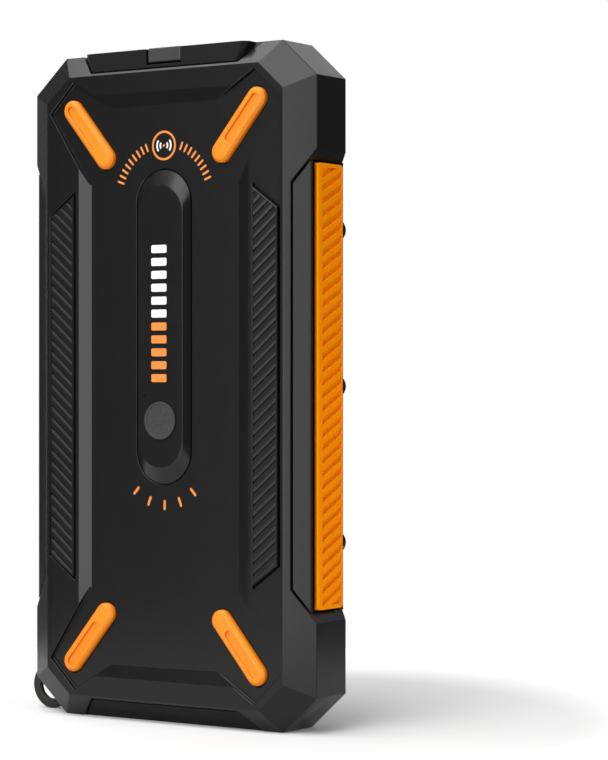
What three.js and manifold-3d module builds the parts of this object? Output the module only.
// Solar phone charger: a rugged power bank with a wireless-charging face (-Y), a solar face (+Y),
// side grip strips, end caps with a power button (top) and a hinged port cover (bottom).
// Millimetres, +Z up. The origin is the centre of the flat bottom end.
import * as THREE from 'three';
import { ConvexGeometry } from 'three/addons/geometries/ConvexGeometry.js';
import { mergeVertices } from 'three/addons/utils/BufferGeometryUtils.js';
import Module from 'manifold-3d';

const wasm = await Module();
wasm.setup();

// ---- driving dimensions ----
const HEIGHT = 150;
const WIDTH = 77.4;
const THICKNESS = 19;
const GAP = 0.3; // clearance between touching pieces
const FAR = 120; // larger than any half size, for open-ended cuts
const PAST = 1; // how far a cut or a joined block runs past the face that it meets
const ROUND = { fine: 36, medium: 20, coarse: 12 }; // sides of a full circle

const HALF_H = HEIGHT / 2;
const HALF_W = WIDTH / 2;
const HALF_T = THICKNESS / 2;
const FACE_HALF_W = 32.5; // flat face inside the bevel
const FACE_HALF_H = 70;
const WALL_HALF_T = 5.76; // half depth of the upright side wall
const FACE_CHAMFER = { x: 6.4, z: 5.82 };
const EDGE_CHAMFER = { x: 8.8, z: 8 };

const SEAM = 0.15; // half of the parting gap between the two shells
const GASKET = { width: 1, halfT: 0.9 };
const CAVITY = { halfW: 32, halfH: 68.8, chamfer: 9.5, front: -6.9, back: 4.6 };

const WAIST = { x: 37.6, z: 48.2, endZ: 51 }; // narrowed side between the corner bumpers
const RAIL = { inner: 34.3, straight: 43.6, slope: 5 / 3.4, reach: 8, groove: 0.45 };
const CORE = { x: 35.5, y: 5 }; // shell wall that stays inside the C-shaped rail
const STRIP = { bottom: 36.8, top: 38.2, halfY: 5.3, halfZ: 48.2, corner: 1 };

const PLATE_DEPTH = 0.9;
const PLATE = { rimW: 23.4, rimH: 65.45, floorW: 20.35, floorH: 62.6 };
// Sunken kite round the seat of the top right bar, as [x, z] corners.
const KITE = [[14, 58], [19, 45.5], [20.8, 45.5], [31.7, 62], [24.75, 68.85], [14.75, 62.65]];
const PROUD = 0.5; // pill, bars and grips stand this far above the face
const SEAT = 0.6; // depth of the seats that hold the pill and the bars
const BAR = { outer: [25.3, 62.4], inner: [16, 51.2], radius: 2.4, crown: 1.7, shoulder: 0.6 };
const GRIP = { inner: 24.9, outer: 31.2, tall: 43.2, short: 38.5, seat: 1.2, groove: 0.45 };
const PILL = {
  baseR: 7.3, topR: 5.5, low: -21.6, high: 47.9, topLow: -18, topHigh: 44.5, shoulder: 0.3,
};
const BADGE = { z: -7.6, radius: 4.2, rise: 0.35, seat: 0.4 };

const PANEL = { halfW: 30.8, halfH: 66.4, chamfer: 4, sink: 0.3, floor: 6 };
const GLASS_T = 1;
const CELL = { rows: 11, pitch: 11.74, height: 11.3, halfW: 29.9, edge: 0.8, thickness: 0.3 };
const BACKING_T = 1;

const SCREW = { headR: 1.65, headT: 1.1, edge: 0.3, shankR: 0.8, hole: 1.1, pocket: 2.1 };
const CORNER_SCREW = { x: 33.1, z: 68.7, headTop: 8, length: 12 };
const SIDE_SCREW = { x: 33.9, z: 34.3, headTop: 9.3, length: 13 };
const BOSS = { top: 2.5, base: 2.9, low: 5.3 };

const END = { lowZ: 70.6, lowHalfW: 20.3, outHalfW: 24.9, side: 0.35, inset: 0.6, topRise: 0.1 };
// Upright front block of the top cap: front and shoulder are set-backs from the flat face, and the
// half widths are [at its foot, at its top].
const BROW = { front: 0.65, shoulder: 1.7, faceHalfW: [19.45, 21.15], rootHalfW: [20.1, 22.45] };
const BUTTON = { halfW: 4.5, front: 0.9, back: 2.4, bottom: 72.05, floor: 71.55, side: 0.3, rise: 0.15 };
const PLUNGER = { halfW: 1.5, front: -4.4, back: -2, bottom: 69, clear: 0.4 };

const FLAP = { halfW: 19, halfY: 4.6, outer: 75, inner: 73.4, side: 0.4, corner: 0.8 };
const HINGE = { y: 4.4, swing: 1.2 };
const MOUTH = 72.8; // the sockets end this far below the centre
const USB_A = { x: 11.4, y: 0, halfW: 6.6, halfY: 2.8, wall: 0.4, depth: 14, tongue: 0.8 };
const USB_C = { x: 0, y: -1.2, halfW: 4.5, halfY: 1.6, wall: 0.35, depth: 7.5, tongue: 0.35 };
const TONGUE = { share: 0.85, recess: 0.6, back: 0.5 }; // width against its socket, and set-backs

const LOOP = { x: -38.6, z: -69.6, outer: 5.4, inner: 3.2, halfT: 0.8 };
const WINDOW = { z: 59.2, halfY: 2.6, halfZ: 6.8, corner: 1, top: 38.6, thickness: 1.3 };
const LED_BOARD = { thickness: 0.8, slotLow: 1.5, slotHigh: 2.3, slotHalfZ: 2 };

const CELLS = { halfGap: 0.4, outerX: 31.4, bottom: -42, top: 59.5, front: -3.2, back: 4.2, corner: 2 };
const TRAY = { halfW: 31.6, bottom: -42.3, top: 59, front: -4.6, back: -3.5 };
const COIL = { z: 13.2, outer: 22, inner: 10, front: -6.6, thickness: 0.8, ferriteR: 24, ferriteT: 0.6 };
const BOARD = { halfW: 30, bottom: -68.3, top: -43, front: -4.4, thickness: 1.2, corner: 8 };
const COIL_LEAD = { halfW: 2, gap: 0.2, thickness: 0.3, end: -48 };
const PANEL_LEAD = { halfW: 2.4, z: -55, halfT: 0.2, slotHalfW: 3.2, slotHalfT: 1 };
const SWITCH = { halfW: 3, bottom: 63.5, top: 67, front: -5, back: -1.4, stemR: 1, stemTop: 68.4 };

// ---- materials ----
const finish = (color, roughness, metalness = 0) =>
  new THREE.MeshStandardMaterial({ color, roughness, metalness });

const shellPlastic = finish(0x242424, 0.55);
const railPlastic = finish(0x2b2b2b, 0.6);
const orangeRubber = finish(0xf59320, 0.5);
const orangeStrip = finish(0xff9100, 0.5);
const blackRubber = finish(0x161616, 0.8);
const gripRubber = finish(0x1e1e1e, 0.7);
const pillPlastic = finish(0x202020, 0.45);
const badgeGrey = finish(0x6a6a6a, 0.4);
const loopRubber = finish(0x231d19, 0.7);
const glass = finish(0x101218, 0.05);
const silicon = finish(0x14161c, 0.35);
const panelBlack = finish(0x0f0f11, 0.45);
const boardGreen = finish(0x1c5b34, 0.5);
const cellWrap = finish(0xb8bcc2, 0.35, 0.6);
const copper = finish(0xb87333, 0.35, 1);
const ferrite = finish(0x3a3a3e, 0.8);
const steel = finish(0x8a8c90, 0.3, 1);
const screwSteel = finish(0x3c3e42, 0.35, 1);
const windowPlastic = finish(0x3c3c3c, 0.3);
const buttonPlastic = finish(0x4a4a4a, 0.5);
const ribbonFilm = finish(0xa86a20, 0.5);

// ---- geometry helpers ----
function solid(geometry) {
  const bare = geometry.clone();
  bare.deleteAttribute('normal');
  bare.deleteAttribute('uv');
  const merged = mergeVertices(bare);
  return new wasm.Manifold(new wasm.Mesh({
    numProp: 3,
    vertProperties: merged.attributes.position.array,
    triVerts: new Uint32Array(merged.index.array),
  }));
}

function outline(points) {
  return new THREE.Shape(points.map(([x, y]) => new THREE.Vector2(x, y)));
}

// Outline in X and Z, extruded along Y.
function prismY(shape, from, to) {
  const geometry = new THREE.ExtrudeGeometry(shape, {
    depth: to - from, bevelEnabled: false, curveSegments: ROUND.coarse / 2,
  });
  return solid(geometry.rotateX(Math.PI / 2).translate(0, to, 0));
}

// Outline in Y and Z, extruded along X.
function prismX(shape, from, to) {
  const geometry = new THREE.ExtrudeGeometry(shape, {
    depth: to - from, bevelEnabled: false, curveSegments: ROUND.coarse / 2,
  });
  return solid(geometry.rotateX(Math.PI / 2).rotateZ(Math.PI / 2).translate(from, 0, 0));
}

function block(x, y, z) {
  const geometry = new THREE.BoxGeometry(x[1] - x[0], y[1] - y[0], z[1] - z[0]);
  return solid(geometry.translate((x[0] + x[1]) / 2, (y[0] + y[1]) / 2, (z[0] + z[1]) / 2));
}

// Round post along Y; the first radius is at the -Y end.
function post(x, z, from, to, radius, sides = ROUND.medium, endRadius = radius) {
  const geometry = new THREE.CylinderGeometry(endRadius, radius, to - from, sides);
  return solid(geometry.translate(x, (from + to) / 2, z));
}

// The solid between two convex outlines (lists of [x, z]) at two depths.
function taper(outlineA, yA, outlineB, yB) {
  const at = (y) => ([x, z]) => new THREE.Vector3(x, y, z);
  return solid(new ConvexGeometry([...outlineA.map(at(yA)), ...outlineB.map(at(yB))]));
}

function octagon(halfW, halfH, cutX, cutZ) {
  const corners = [[halfW, halfH - cutZ], [halfW - cutX, halfH]];
  const flipX = ([x, z]) => [-x, z];
  const top = [...corners, ...corners.map(flipX).reverse()];
  return [...top, ...top.map(([x, z]) => [x, -z]).reverse()];
}

function rectangle(halfW, halfH) {
  return [[halfW, -halfH], [halfW, halfH], [-halfW, halfH], [-halfW, -halfH]];
}

function roundedRect(x0, x1, z0, z1, r) {
  const shape = new THREE.Shape();
  shape.absarc(x1 - r, z0 + r, r, -Math.PI / 2, 0);
  shape.absarc(x1 - r, z1 - r, r, 0, Math.PI / 2);
  shape.absarc(x0 + r, z1 - r, r, Math.PI / 2, Math.PI);
  shape.absarc(x0 + r, z0 + r, r, Math.PI, Math.PI * 1.5);
  return shape;
}

// Points of a capsule from a to b.
function capsule([ax, az], [bx, bz], radius, steps = ROUND.medium / 2) {
  const along = Math.atan2(bz - az, bx - ax);
  const cap = (x, z, start) => Array.from({ length: steps + 1 }, (_, i) => {
    const angle = start + (Math.PI * i) / steps;
    return [x + radius * Math.cos(angle), z + radius * Math.sin(angle)];
  });
  return [...cap(bx, bz, along - Math.PI / 2), ...cap(ax, az, along + Math.PI / 2)];
}

const mirrorX = (body) => body.mirror([1, 0, 0]);
const mirrorZ = (body) => body.mirror([0, 0, 1]);
const unite = (bodies) => bodies.reduce((sum, body) => sum.add(body));
const both = (body) => body.add(mirrorX(body));
const allFour = (body) => both(body.add(mirrorZ(body)));
const cut = (body, ...tools) => tools.reduce((rest, tool) => rest.subtract(tool), body);

// ---- the object ----
const charger = new THREE.Group();
charger.position.z = HALF_H;

function addPiece(name, body, material) {
  const data = body.getMesh();
  const geometry = new THREE.BufferGeometry();
  geometry.setAttribute('position', new THREE.BufferAttribute(data.vertProperties, 3));
  geometry.setIndex(new THREE.BufferAttribute(data.triVerts, 1));
  const mesh = new THREE.Mesh(geometry, material);
  mesh.name = name;
  charger.add(mesh);
}

// ---- shared outer form and cuts ----
const faceOutline = octagon(FACE_HALF_W, FACE_HALF_H, FACE_CHAMFER.x, FACE_CHAMFER.z);
const edgeOutline = octagon(HALF_W, HALF_H, EDGE_CHAMFER.x, EDGE_CHAMFER.z);

function outerForm() {
  const ring = (y) => edgeOutline.map(([x, z]) => new THREE.Vector3(x, y, z));
  const face = (y) => faceOutline.map(([x, z]) => new THREE.Vector3(x, y, z));
  const rings = [face(-HALF_T), ring(-WALL_HALF_T), ring(WALL_HALF_T), face(HALF_T)];
  const full = solid(new ConvexGeometry(rings.flat()));
  const flare = (WAIST.endZ - WAIST.z) / (HALF_W - WAIST.x);
  const beyond = HALF_W + PAST;
  const endZ = WAIST.z + (beyond - WAIST.x) * flare;
  const waistCut = outline([
    [WAIST.x, -WAIST.z], [beyond, -endZ], [beyond, endZ], [WAIST.x, WAIST.z],
  ]);
  return cut(full, both(prismY(waistCut, -FAR, FAR)));
}

// C-shaped region of a rail: grow moves its outline away from the rail, and clear is the gap
// that the rail keeps to the shell's core and to the ends of the strip.
function railRegion(grow, clear) {
  const inner = RAIL.inner - grow;
  const straight = RAIL.straight + grow / 2;
  const tip = straight + RAIL.reach * RAIL.slope;
  const region = outline([
    [inner, -straight], [inner + RAIL.reach, -tip], [inner + RAIL.reach, tip], [inner, straight],
  ]);
  const bay = block([CORE.x + clear, FAR], [-STRIP.halfY - 2 * GAP + clear, STRIP.halfY + 2 * GAP - clear],
    [-STRIP.halfZ - 2 * GAP + clear, STRIP.halfZ + 2 * GAP - clear]);
  const core = block([0, CORE.x + clear], [-CORE.y - clear, CORE.y + clear], [-FAR, FAR]);
  return cut(prismY(region, -FAR, FAR), core).add(bay);
}

function screwCuts({ x, z, headTop, length }) {
  const shank = post(x, z, headTop - length - PAST, HALF_T + PAST, SCREW.hole, ROUND.coarse);
  const pocket = post(x, z, headTop - SCREW.headT - GAP, HALF_T + PAST, SCREW.pocket);
  return shank.add(pocket);
}

const form = outerForm();
// Recess in an end: wider towards the end face. side is the gap that a cap keeps to its walls.
function endRegion(side) {
  const slope = (END.outHalfW - END.lowHalfW) / (HALF_H - END.lowZ);
  const halfWAt = (z) => END.lowHalfW + slope * (z - END.lowZ) - side * Math.hypot(1, slope);
  const [low, high] = [END.lowZ + side, HALF_H + PAST];
  return outline([
    [-halfWAt(low), low], [halfWAt(low), low], [halfWAt(high), high], [-halfWAt(high), high],
  ]);
}
const endCut = prismY(endRegion(0), -FAR, FAR);
const endCuts = endCut.add(mirrorZ(endCut));
const railCuts = both(railRegion(RAIL.groove, 0));
const cavityShape = (grow) => outline(octagon(CAVITY.halfW + grow, CAVITY.halfH + grow,
  CAVITY.chamfer, CAVITY.chamfer));
const gasketSeat = prismY(cavityShape(GASKET.width + GAP), -GASKET.halfT - GAP, GASKET.halfT + GAP);
const loopSlot = post(LOOP.x, LOOP.z, -LOOP.halfT - GAP, LOOP.halfT + GAP,
  LOOP.outer + GAP, ROUND.fine);

const cornerScrewCuts = allFour(screwCuts(CORNER_SCREW));
const sideScrewRows = [-SIDE_SCREW.z, 0, SIDE_SCREW.z];
const sideScrewCuts = both(unite(sideScrewRows.map((z) => screwCuts({ ...SIDE_SCREW, z }))));

const windowShape = (grow) => roundedRect(
  -WINDOW.halfY - grow, WINDOW.halfY + grow,
  WINDOW.z - WINDOW.halfZ - grow, WINDOW.z + WINDOW.halfZ + grow, WINDOW.corner + grow);
const windowBottom = WINDOW.top - WINDOW.thickness;
const windowPocketFloor = windowBottom - GAP - LED_BOARD.thickness - GAP;
const windowPocket = prismX(windowShape(GAP), -FAR, -windowPocketFloor);

// One opening in the shells' end wall for all three sockets.
const portWallCut = block([-USB_A.x - USB_A.halfW - GAP, USB_A.x + USB_A.halfW + GAP],
  [-USB_A.halfY - GAP, USB_A.halfY + GAP], [-END.lowZ - PAST, -CAVITY.halfH + PAST]);

const plungerCut = block(
  [-PLUNGER.halfW - PLUNGER.clear, PLUNGER.halfW + PLUNGER.clear],
  [PLUNGER.front - PLUNGER.clear, PLUNGER.back + PLUNGER.clear],
  [SWITCH.stemTop - PAST, BUTTON.floor + PAST]);

// ---- wireless face: shell, grips, bars, pill ----
const plateY = -HALF_T + PLATE_DEPTH;
const seatY = plateY + SEAT;
const proudY = -HALF_T - PROUD;

// Outline of a grip, moved outwards by grow all round.
function gripOutline(grow) {
  const { inner, outer, tall, short } = GRIP;
  const slope = (tall - short) / (outer - inner);
  const shift = grow * Math.hypot(1, slope);
  const low = short + shift - grow * slope;
  const high = tall + shift + grow * slope;
  return outline([
    [inner - grow, -high], [outer + grow, -low], [outer + grow, low], [inner - grow, high],
  ]);
}

const pillCapsule = (grow) => capsule(
  [0, PILL.low + PILL.baseR], [0, PILL.high - PILL.baseR], PILL.baseR + grow, ROUND.fine / 2);

function frontShell() {
  const slab = block([-FAR, FAR], [-FAR, -SEAM], [-FAR, FAR]);
  const cavity = prismY(cavityShape(0), CAVITY.front, FAR);
  const frustum = taper(
    rectangle(PLATE.floorW, PLATE.floorH), plateY,
    rectangle(PLATE.rimW + (PLATE.rimW - PLATE.floorW), PLATE.rimH + (PLATE.rimH - PLATE.floorH)),
    plateY - 2 * PLATE_DEPTH);
  const kites = allFour(prismY(outline(KITE), -FAR, plateY));
  const barSeats = allFour(prismY(outline(capsule(BAR.outer, BAR.inner, BAR.radius + GAP)), -FAR, seatY));
  const gripSeats = both(prismY(gripOutline(GRIP.groove), -FAR, -HALF_T + GRIP.seat));
  const pillSeat = prismY(outline(pillCapsule(GAP)), -FAR, seatY);
  return cut(form.intersect(slab), cavity, gasketSeat, loopSlot, frustum, kites, barSeats, gripSeats,
    pillSeat, railCuts, endCuts, cornerScrewCuts, sideScrewCuts, windowPocket, portWallCut, plungerCut);
}
addPiece('front_shell', frontShell(), shellPlastic);

const gripBody = prismY(gripOutline(0), proudY, -HALF_T + GRIP.seat - GAP);
addPiece('grip_pad_right', gripBody, gripRubber);
addPiece('grip_pad_left', mirrorX(gripBody), gripRubber);

function accentBar() {
  const base = capsule(BAR.outer, BAR.inner, BAR.radius);
  const crown = capsule(BAR.outer, BAR.inner, BAR.crown);
  const shoulder = proudY + BAR.shoulder;
  const foot = prismY(outline(base), shoulder, seatY - GAP);
  return foot.add(taper(base, shoulder, crown, proudY));
}
const bar = accentBar();
addPiece('accent_bar_top_right', bar, orangeRubber);
addPiece('accent_bar_top_left', mirrorX(bar), orangeRubber);
addPiece('accent_bar_bottom_right', mirrorZ(bar), orangeRubber);
addPiece('accent_bar_bottom_left', mirrorX(mirrorZ(bar)), orangeRubber);

function pillPad() {
  const { topR, topLow, topHigh } = PILL;
  const base = pillCapsule(0);
  const top = capsule([0, topLow + topR], [0, topHigh - topR], topR, ROUND.fine / 2);
  const shoulder = plateY - PILL.shoulder;
  const foot = prismY(outline(base), shoulder, seatY - GAP);
  const seat = post(0, BADGE.z, -FAR, proudY + BADGE.seat, BADGE.radius + GAP, ROUND.fine);
  return cut(foot.add(taper(base, shoulder, top, proudY)), seat);
}
addPiece('charging_pad', pillPad(), pillPlastic);
addPiece('pad_badge', post(0, BADGE.z, proudY - BADGE.rise, proudY + BADGE.seat - GAP,
  BADGE.radius, ROUND.fine), badgeGrey);

// ---- solar face: shell, backing, cells, glass ----
const panelOutline = (grow) => outline(octagon(
  PANEL.halfW + grow, PANEL.halfH + grow, PANEL.chamfer, PANEL.chamfer));

function backShell() {
  const slab = block([-FAR, FAR], [SEAM, FAR], [-FAR, FAR]);
  const cavity = prismY(cavityShape(0), -FAR, CAVITY.back);
  const bosses = both(unite(sideScrewRows.map((z) =>
    post(SIDE_SCREW.x, z, BOSS.low, HALF_T, BOSS.base, ROUND.medium, BOSS.top))));
  const panelPocket = prismY(panelOutline(GAP), PANEL.floor, FAR);
  const leadSlot = block([-PANEL_LEAD.slotHalfW, PANEL_LEAD.slotHalfW], [0, PANEL.floor + PAST],
    [PANEL_LEAD.z - PANEL_LEAD.slotHalfT, PANEL_LEAD.z + PANEL_LEAD.slotHalfT]);
  const ledSlot = block([-windowPocketFloor - PAST, -CAVITY.halfW + PAST],
    [LED_BOARD.slotLow, LED_BOARD.slotHigh],
    [WINDOW.z - LED_BOARD.slotHalfZ, WINDOW.z + LED_BOARD.slotHalfZ]);
  const shell = cut(form.intersect(slab), railCuts, endCuts, cavity, gasketSeat, loopSlot)
    .add(bosses);
  return cut(shell, panelPocket, leadSlot, ledSlot, cornerScrewCuts, sideScrewCuts,
    windowPocket, portWallCut);
}
addPiece('back_shell', backShell(), shellPlastic);

const glassTop = HALF_T - PANEL.sink;
const cellTop = glassTop - GLASS_T - GAP;
const backingTop = cellTop - CELL.thickness - GAP;
addPiece('solar_glass', prismY(panelOutline(0), glassTop - GLASS_T, glassTop), glass);
addPiece('solar_backing', prismY(panelOutline(0), backingTop - BACKING_T, backingTop), panelBlack);
const cellField = prismY(panelOutline(-CELL.edge), cellTop - CELL.thickness, cellTop);
for (let row = 0; row < CELL.rows; row += 1) {
  const z = ((CELL.rows - 1) / 2 - row) * CELL.pitch;
  const strip = block([-CELL.halfW, CELL.halfW], [0, HALF_T], [z - CELL.height / 2, z + CELL.height / 2]);
  addPiece(`solar_cell_${String(row + 1).padStart(2, '0')}`, cellField.intersect(strip), silicon);
}

// ---- seam gasket and lanyard loop ----
function seamGasket() {
  const ring = prismY(cavityShape(GASKET.width), -GASKET.halfT, GASKET.halfT);
  const hole = prismY(cavityShape(0), -FAR, FAR);
  return cut(ring, hole, sideScrewCuts, portWallCut);
}
addPiece('seam_gasket', seamGasket(), blackRubber);

function lanyardLoop() {
  const ring = new THREE.Shape();
  ring.absarc(LOOP.x, LOOP.z, LOOP.outer, 0, 2 * Math.PI);
  const eye = new THREE.Path();
  eye.absarc(LOOP.x, LOOP.z, LOOP.inner, 0, 2 * Math.PI, true);
  ring.holes.push(eye);
  const geometry = new THREE.ExtrudeGeometry(ring, {
    depth: 2 * LOOP.halfT, bevelEnabled: false, curveSegments: ROUND.fine / 2,
  });
  const body = solid(geometry.rotateX(Math.PI / 2).translate(0, LOOP.halfT, 0));
  return cut(body, cornerScrewCuts);
}
addPiece('lanyard_loop', lanyardLoop(), loopRubber);

// ---- side rails and strips ----
function sideRail() {
  const pocket = block([STRIP.bottom - GAP, FAR], [-STRIP.halfY - GAP, STRIP.halfY + GAP], [-FAR, FAR]);
  const bossClear = unite(sideScrewRows.map((z) =>
    post(SIDE_SCREW.x, z, BOSS.low - GAP, FAR, BOSS.base + GAP)));
  return cut(railRegion(0, GAP).intersect(form), pocket, bossClear);
}
const rail = sideRail();
addPiece('side_rail_right', rail, railPlastic);
addPiece('side_rail_left', mirrorX(rail), railPlastic);

const stripShape = roundedRect(-STRIP.halfY, STRIP.halfY, -STRIP.halfZ, STRIP.halfZ, STRIP.corner);
const strip = prismX(stripShape, STRIP.bottom, STRIP.top);
addPiece('side_strip_right', strip, orangeStrip);
addPiece('side_strip_left', mirrorX(strip), orangeStrip);

// ---- charge-level window on the left bumper ----
addPiece('led_window', prismX(windowShape(0), -WINDOW.top, -windowBottom), windowPlastic);
addPiece('led_board', prismX(windowShape(0), -windowBottom + GAP,
  -windowBottom + GAP + LED_BOARD.thickness), boardGreen);

// ---- end caps, power button, port cover, sockets ----
const bevelSlope = (HALF_H - FACE_HALF_H) / (HALF_T - WALL_HALF_T);

// Section of an end cap in Y and Z: front and back inset from the end bevels, flat top.
function capSection(low, high, inset) {
  const insetY = inset * Math.hypot(1, 1 / bevelSlope);
  const yAt = (z) => HALF_T - insetY - (z - FACE_HALF_H) / bevelSlope;
  return outline([[-yAt(low), low], [yAt(low), low], [yAt(high), high], [-yAt(high), high]]);
}

const capLow = END.lowZ + GAP;
const topZ = HALF_H + END.topRise;

function brow() {
  const trapezoid = ([low, high]) => [[low, capLow], [high, topZ], [-high, topZ], [-low, capLow]];
  const root = trapezoid(BROW.rootHalfW);
  const front = taper(trapezoid(BROW.faceHalfW), -HALF_T + BROW.front, root, -HALF_T + BROW.shoulder);
  return front.add(prismY(outline(root), -HALF_T + BROW.shoulder, 0));
}

function topCap() {
  const body = prismX(capSection(capLow, topZ, END.inset), -FAR, FAR)
    .intersect(prismY(endRegion(END.side), -FAR, FAR))
    .add(brow());
  const pocket = block([-BUTTON.halfW - BUTTON.side, BUTTON.halfW + BUTTON.side],
    [-FAR, BUTTON.back + BUTTON.side], [BUTTON.floor, FAR]);
  return cut(body, pocket, plungerCut);
}
addPiece('top_end_cap', topCap(), blackRubber);

function powerButton() {
  const key = block([-BUTTON.halfW, BUTTON.halfW], [-HALF_T + BUTTON.front, BUTTON.back],
    [BUTTON.bottom, topZ + BUTTON.rise]);
  const plunger = block([-PLUNGER.halfW, PLUNGER.halfW], [PLUNGER.front, PLUNGER.back],
    [PLUNGER.bottom, BUTTON.bottom + PAST]);
  return key.add(plunger);
}
addPiece('power_button', powerButton(), buttonPlastic);

function bottomCap() {
  const upright = prismX(capSection(capLow, HALF_H, END.inset), -FAR, FAR)
    .intersect(prismY(endRegion(END.side), -FAR, FAR));
  const flapBay = block([-FLAP.halfW - FLAP.side, FLAP.halfW + FLAP.side],
    [-FLAP.halfY - FLAP.side, HINGE.y + HINGE.swing], [-FAR, -FLAP.inner + GAP]);
  const opening = ({ x, y, halfW, halfY }) => block([x - halfW - GAP, x + halfW + GAP],
    [y - halfY - GAP, y + halfY + GAP], [-FLAP.inner - PAST, -capLow + PAST]);
  const usbC = { ...USB_C, halfW: USB_C.halfW - GAP };
  return cut(mirrorZ(upright), flapBay, both(opening(USB_A)), opening(usbC));
}
addPiece('bottom_end_cap', bottomCap(), blackRubber);

function portCover() {
  const edge = roundedRect(-FLAP.halfW, FLAP.halfW, -FLAP.halfY, FLAP.halfY, FLAP.corner);
  const geometry = new THREE.ExtrudeGeometry(edge, {
    depth: FLAP.outer - FLAP.inner, bevelEnabled: false, curveSegments: ROUND.coarse / 4,
  });
  return solid(geometry.translate(0, 0, -FLAP.outer));
}
addPiece('port_cover', portCover(), blackRubber);

// A socket shell with its tongue, open at the mouth.
function socket({ x, y, halfW, halfY, wall, depth, tongue }) {
  const end = -MOUTH + depth;
  const tongueHalfW = halfW * TONGUE.share;
  const body = block([x - halfW, x + halfW], [y - halfY, y + halfY], [-MOUTH, end]);
  const hollow = block([x - halfW + wall, x + halfW - wall], [y - halfY + wall, y + halfY - wall],
    [-MOUTH - PAST, end - PAST]);
  const plate = block([x - tongueHalfW, x + tongueHalfW], [y - tongue, y + tongue],
    [-MOUTH + TONGUE.recess, end - TONGUE.back]);
  return cut(body, hollow).add(plate);
}
const usbA = socket(USB_A);
addPiece('usb_a_socket_left', mirrorX(usbA), steel);
addPiece('usb_a_socket_right', usbA, steel);
addPiece('usb_c_socket', socket(USB_C), steel);

// ---- insides ----
addPiece('main_board', prismY(outline(octagon(BOARD.halfW, (BOARD.top - BOARD.bottom) / 2,
  BOARD.corner, BOARD.corner)), BOARD.front, BOARD.front + BOARD.thickness)
  .translate([0, 0, (BOARD.top + BOARD.bottom) / 2]), boardGreen);

const cellShape = roundedRect(CELLS.halfGap, CELLS.outerX, CELLS.bottom, CELLS.top, CELLS.corner);
const batteryCell = prismY(cellShape, CELLS.front, CELLS.back);
addPiece('battery_cell_right', batteryCell, cellWrap);
addPiece('battery_cell_left', mirrorX(batteryCell), cellWrap);
addPiece('battery_tray', block([-TRAY.halfW, TRAY.halfW], [TRAY.front, TRAY.back],
  [TRAY.bottom, TRAY.top]), pillPlastic);

const coilDisc = (radius, from, to) => post(0, COIL.z, from, to, radius, ROUND.fine);
const coilBack = COIL.front + COIL.thickness;
addPiece('charging_coil', cut(coilDisc(COIL.outer, COIL.front, coilBack), coilDisc(COIL.inner, -FAR, FAR)),
  copper);
addPiece('ferrite_sheet', coilDisc(COIL.ferriteR, coilBack + GAP, coilBack + GAP + COIL.ferriteT), ferrite);
const leadFront = COIL.front + COIL_LEAD.gap;
addPiece('coil_lead', block([-COIL_LEAD.halfW, COIL_LEAD.halfW],
  [leadFront, leadFront + COIL_LEAD.thickness], [COIL_LEAD.end, COIL.z - COIL.outer - PAST]), ribbonFilm);
addPiece('panel_lead', block([-PANEL_LEAD.halfW, PANEL_LEAD.halfW],
  [BOARD.front + BOARD.thickness + GAP, backingTop - BACKING_T - GAP],
  [PANEL_LEAD.z - PANEL_LEAD.halfT, PANEL_LEAD.z + PANEL_LEAD.halfT]), ribbonFilm);

function buttonSwitch() {
  const body = block([-SWITCH.halfW, SWITCH.halfW], [SWITCH.front, SWITCH.back],
    [SWITCH.bottom, SWITCH.top]);
  const foot = SWITCH.top - PAST;
  const stem = new THREE.CylinderGeometry(SWITCH.stemR, SWITCH.stemR, SWITCH.stemTop - foot, ROUND.coarse);
  stem.rotateX(Math.PI / 2);
  stem.translate(0, (SWITCH.front + SWITCH.back) / 2, (SWITCH.stemTop + foot) / 2);
  return body.add(solid(stem));
}
addPiece('button_switch', buttonSwitch(), steel);

// ---- screws ----
function screwBody({ x, z, headTop, length }) {
  const { headR, headT, edge, shankR } = SCREW;
  const profile = [
    [0, 0], [shankR, 0], [shankR, length - headT], [headR, length - headT],
    [headR, length - edge], [headR - edge, length], [0, length],
  ].map(([r, h]) => new THREE.Vector2(r, h));
  const geometry = new THREE.LatheGeometry(profile, ROUND.medium);
  return solid(geometry.translate(x, headTop - length, z));
}
for (const [vertical, up] of [['top', 1], ['bottom', -1]]) {
  for (const [side, right] of [['right', 1], ['left', -1]]) {
    const { x, z } = CORNER_SCREW;
    addPiece(`corner_screw_${vertical}_${side}`,
      screwBody({ ...CORNER_SCREW, x: right * x, z: up * z }), screwSteel);
  }
}
for (const [side, right] of [['right', 1], ['left', -1]]) {
  sideScrewRows.forEach((z, index) => addPiece(`side_screw_${side}_${index + 1}`,
    screwBody({ ...SIDE_SCREW, x: right * SIDE_SCREW.x, z }), screwSteel));
}

export default charger;
